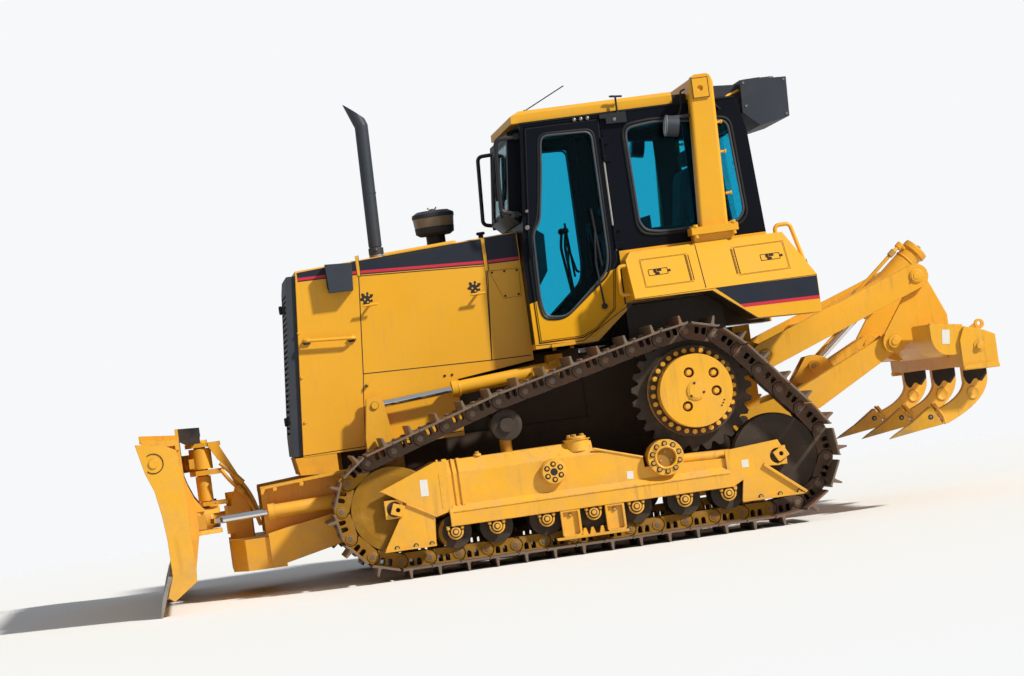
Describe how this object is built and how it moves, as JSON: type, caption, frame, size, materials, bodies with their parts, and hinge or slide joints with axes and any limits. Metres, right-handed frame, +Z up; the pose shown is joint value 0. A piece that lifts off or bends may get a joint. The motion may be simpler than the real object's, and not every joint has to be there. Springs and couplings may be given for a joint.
{
  "type": "track-type bulldozer with angling blade and ripper",
  "caption": "Medium crawler bulldozer with raised drive sprockets, an angling and tilting blade, a closed cab with rollover posts and a rear ripper.",
  "frame": {"origin": "on the ground under the middle of the machine's length and width", "axes": "+X forward to the blade, +Y to the machine's left, +Z up"},
  "size_m": [5.738, 3.29, 3.234],
  "materials": {
    "yellow": "satin, dusty",
    "black": "satin",
    "stack_black": "matt",
    "dark_plastic": "matt",
    "dark_steel": "worn",
    "track_steel": "rusty, ground bright",
    "chrome": "polished",
    "glass": "tinted",
    "seat_fabric": "woven"
  },
  "bodies": {
    "chassis": {"main_frame": "yellow", "engine_block": "dark_steel", "rear_case": "yellow", "hood": "yellow", "grille": "black", "side_panel_left": "yellow", "side_panel_right": "yellow", "exhaust_stack": "stack_black", "precleaner": "dark_plastic", "cab_floor": "yellow", "cab_frame": "black", "cab_roof": "yellow", "cab_glass": "glass", "console": "dark_plastic", "seat": "seat_fabric", "fuel_tank": "yellow", "fender_left": "yellow", "fender_right": "yellow", "rollover_frame": "yellow", "air_conditioner": "black", "work_lamps": "dark_plastic", "grab_rails": "yellow", "track_frame_left": "yellow", "track_frame_right": "yellow", "rollers_left": "dark_steel", "rollers_right": "dark_steel", "sprocket_left": "dark_steel", "sprocket_right": "dark_steel", "hub_cover_left": "yellow", "hub_cover_right": "yellow", "track_left": "track_steel", "track_right": "track_steel"},
    "c_frame": {"c_frame": "yellow"},
    "blade_yoke": {"blade_yoke": "yellow"},
    "blade": {"moldboard": "yellow", "cutting_edge": "track_steel", "tilt_barrel": "yellow"},
    "tilt_rod": {"tilt_rod": "chrome"},
    "ripper_upper_link": {"ripper_upper_link": "yellow"},
    "ripper_lower_link": {"ripper_lower_link": "yellow"},
    "ripper_carriage": {"ripper_carriage": "yellow", "ripper_shanks": "yellow"},
    "ripper_barrel": {"ripper_barrel": "yellow"},
    "ripper_rod": {"ripper_rod": "chrome"},
    "lift_barrel_left": {"lift_barrel_left": "yellow"},
    "lift_rod_left": {"lift_rod_left": "chrome"},
    "angle_barrel_left": {"angle_barrel_left": "yellow"},
    "angle_rod_left": {"angle_rod_left": "chrome"},
    "door_left": {"cab_door_left": "black", "door_glass_left": "glass"},
    "locker_lid_front_left": {"locker_lid_front_left": "yellow"},
    "locker_lid_rear_left": {"locker_lid_rear_left": "yellow"},
    "lift_barrel_right": {"lift_barrel_right": "yellow"},
    "lift_rod_right": {"lift_rod_right": "chrome"},
    "angle_barrel_right": {"angle_barrel_right": "yellow"},
    "angle_rod_right": {"angle_rod_right": "chrome"},
    "door_right": {"cab_door_right": "black", "door_glass_right": "glass"},
    "locker_lid_front_right": {"locker_lid_front_right": "yellow"},
    "locker_lid_rear_right": {"locker_lid_rear_right": "yellow"}
  },
  "joints": [
    {"name": "blade_lift", "type": "hinge", "parent": "chassis", "child": "c_frame", "pos_m": [0.438, 0, 0.56], "axis": [0, -1, 0], "range_deg": [-10, 27]},
    {"name": "blade_angle", "type": "hinge", "parent": "c_frame", "child": "blade_yoke", "pos_m": [2.463, 0, 0.537], "axis": [0, 0, 1], "range_deg": [-25, 25]},
    {"name": "blade_tilt", "type": "hinge", "parent": "blade_yoke", "child": "blade", "pos_m": [2.463, 0, 0.537], "axis": [1, 0, 0], "range_deg": [-7, 7]},
    {"name": "lift_swing_left", "type": "hinge", "parent": "chassis", "child": "lift_barrel_left", "pos_m": [0.033, 0.6, 1.236], "axis": [0, -1, 0], "range_deg": [-6.82, 18.41]},
    {"name": "lift_stroke_left", "type": "slide", "parent": "lift_barrel_left", "child": "lift_rod_left", "axis": [0.9976, 0, -0.0693], "range_m": [-0.3313, 0.1227]},
    {"name": "angle_pitch_left", "type": "hinge", "parent": "c_frame", "child": "angle_barrel_left", "pos_m": [1.338, 0.588, 0.56], "axis": [0, -1, 0], "range_deg": [-4.24, 4.24]},
    {"name": "angle_stroke_left", "type": "slide", "parent": "angle_barrel_left", "child": "angle_rod_left", "axis": [0.9986, 0.0483, -0.0214], "range_m": [-0.27531, 0.27531]},
    {"name": "lift_swing_right", "type": "hinge", "parent": "chassis", "child": "lift_barrel_right", "pos_m": [0.033, -0.6, 1.236], "axis": [0, -1, 0], "range_deg": [-6.82, 18.41]},
    {"name": "lift_stroke_right", "type": "slide", "parent": "lift_barrel_right", "child": "lift_rod_right", "axis": [0.9976, 0, -0.0693], "range_m": [-0.3313, 0.1227]},
    {"name": "angle_pitch_right", "type": "hinge", "parent": "c_frame", "child": "angle_barrel_right", "pos_m": [1.338, -0.588, 0.56], "axis": [0, -1, 0], "range_deg": [-4.24, 4.24]},
    {"name": "angle_stroke_right", "type": "slide", "parent": "angle_barrel_right", "child": "angle_rod_right", "axis": [0.9986, -0.0483, -0.0214], "range_m": [-0.27531, 0.27531]},
    {"name": "tilt_stroke", "type": "slide", "parent": "blade", "child": "tilt_rod", "axis": [0, 1, 0], "range_m": [-0.04835, 0.04835]},
    {"name": "ripper_lift", "type": "hinge", "parent": "chassis", "child": "ripper_lower_link", "pos_m": [-1.219, 0, 0.701], "axis": [0, -1, 0], "range_deg": [0, 43]},
    {"name": "ripper_upper", "type": "hinge", "parent": "chassis", "child": "ripper_upper_link", "pos_m": [-1.421, 0, 1.125], "axis": [0, -1, 0], "range_deg": [0, 44]},
    {"name": "ripper_level", "type": "hinge", "parent": "ripper_lower_link", "child": "ripper_carriage", "pos_m": [-2.326, 0, 1.099], "axis": [0, -1, 0], "range_deg": [-44, 0]},
    {"name": "ripper_cylinder_swing", "type": "hinge", "parent": "ripper_upper_link", "child": "ripper_barrel", "pos_m": [-2.372, 0, 1.467], "axis": [0, -1, 0], "range_deg": [-27.16, 0]},
    {"name": "ripper_stroke", "type": "slide", "parent": "ripper_barrel", "child": "ripper_rod", "axis": [0.7679, 0, -0.6406], "range_m": [-0.18487, 0]},
    {"name": "door_left", "type": "hinge", "parent": "chassis", "child": "door_left", "pos_m": [-0.477, 0.73, 2.1], "axis": [0, 0, 1], "range_deg": [0, 70]},
    {"name": "locker_lid_front_left", "type": "hinge", "parent": "chassis", "child": "locker_lid_front_left", "pos_m": [-0.904, 1.015, 1.773], "axis": [0, -0.5885, 0.8085], "range_deg": [0, 100]},
    {"name": "locker_lid_rear_left", "type": "hinge", "parent": "chassis", "child": "locker_lid_rear_left", "pos_m": [-1.216, 1.015, 1.773], "axis": [0, 0.5885, -0.8085], "range_deg": [0, 100]},
    {"name": "door_right", "type": "hinge", "parent": "chassis", "child": "door_right", "pos_m": [-0.477, -0.73, 2.1], "axis": [0, 0, -1], "range_deg": [0, 70]},
    {"name": "locker_lid_front_right", "type": "hinge", "parent": "chassis", "child": "locker_lid_front_right", "pos_m": [-0.904, -1.015, 1.773], "axis": [0, -0.5885, -0.8085], "range_deg": [0, 100]},
    {"name": "locker_lid_rear_right", "type": "hinge", "parent": "chassis", "child": "locker_lid_rear_right", "pos_m": [-1.216, -1.015, 1.773], "axis": [0, 0.5885, 0.8085], "range_deg": [0, 100]}
  ],
  "couplings": [
    {"joint": "lift_swing_left", "follows": "blade_lift", "ratio": 0.66852},
    {"joint": "lift_stroke_left", "follows": "blade_lift", "m_per_rad": -0.68925},
    {"joint": "angle_pitch_left", "follows": "blade_tilt", "ratio": 0.59406},
    {"joint": "angle_stroke_left", "follows": "blade_angle", "m_per_rad": -0.6186},
    {"joint": "lift_swing_right", "follows": "blade_lift", "ratio": 0.66852},
    {"joint": "lift_stroke_right", "follows": "blade_lift", "m_per_rad": -0.68925},
    {"joint": "angle_pitch_right", "follows": "blade_tilt", "ratio": -0.59406},
    {"joint": "angle_stroke_right", "follows": "blade_angle", "m_per_rad": 0.6186},
    {"joint": "tilt_stroke", "follows": "blade_tilt", "m_per_rad": 0.388},
    {"joint": "ripper_upper", "follows": "ripper_lift", "ratio": 1},
    {"joint": "ripper_level", "follows": "ripper_lift", "ratio": -1},
    {"joint": "ripper_cylinder_swing", "follows": "ripper_lift", "ratio": -0.61914},
    {"joint": "ripper_stroke", "follows": "ripper_lift", "m_per_rad": -0.2415}
  ]
}
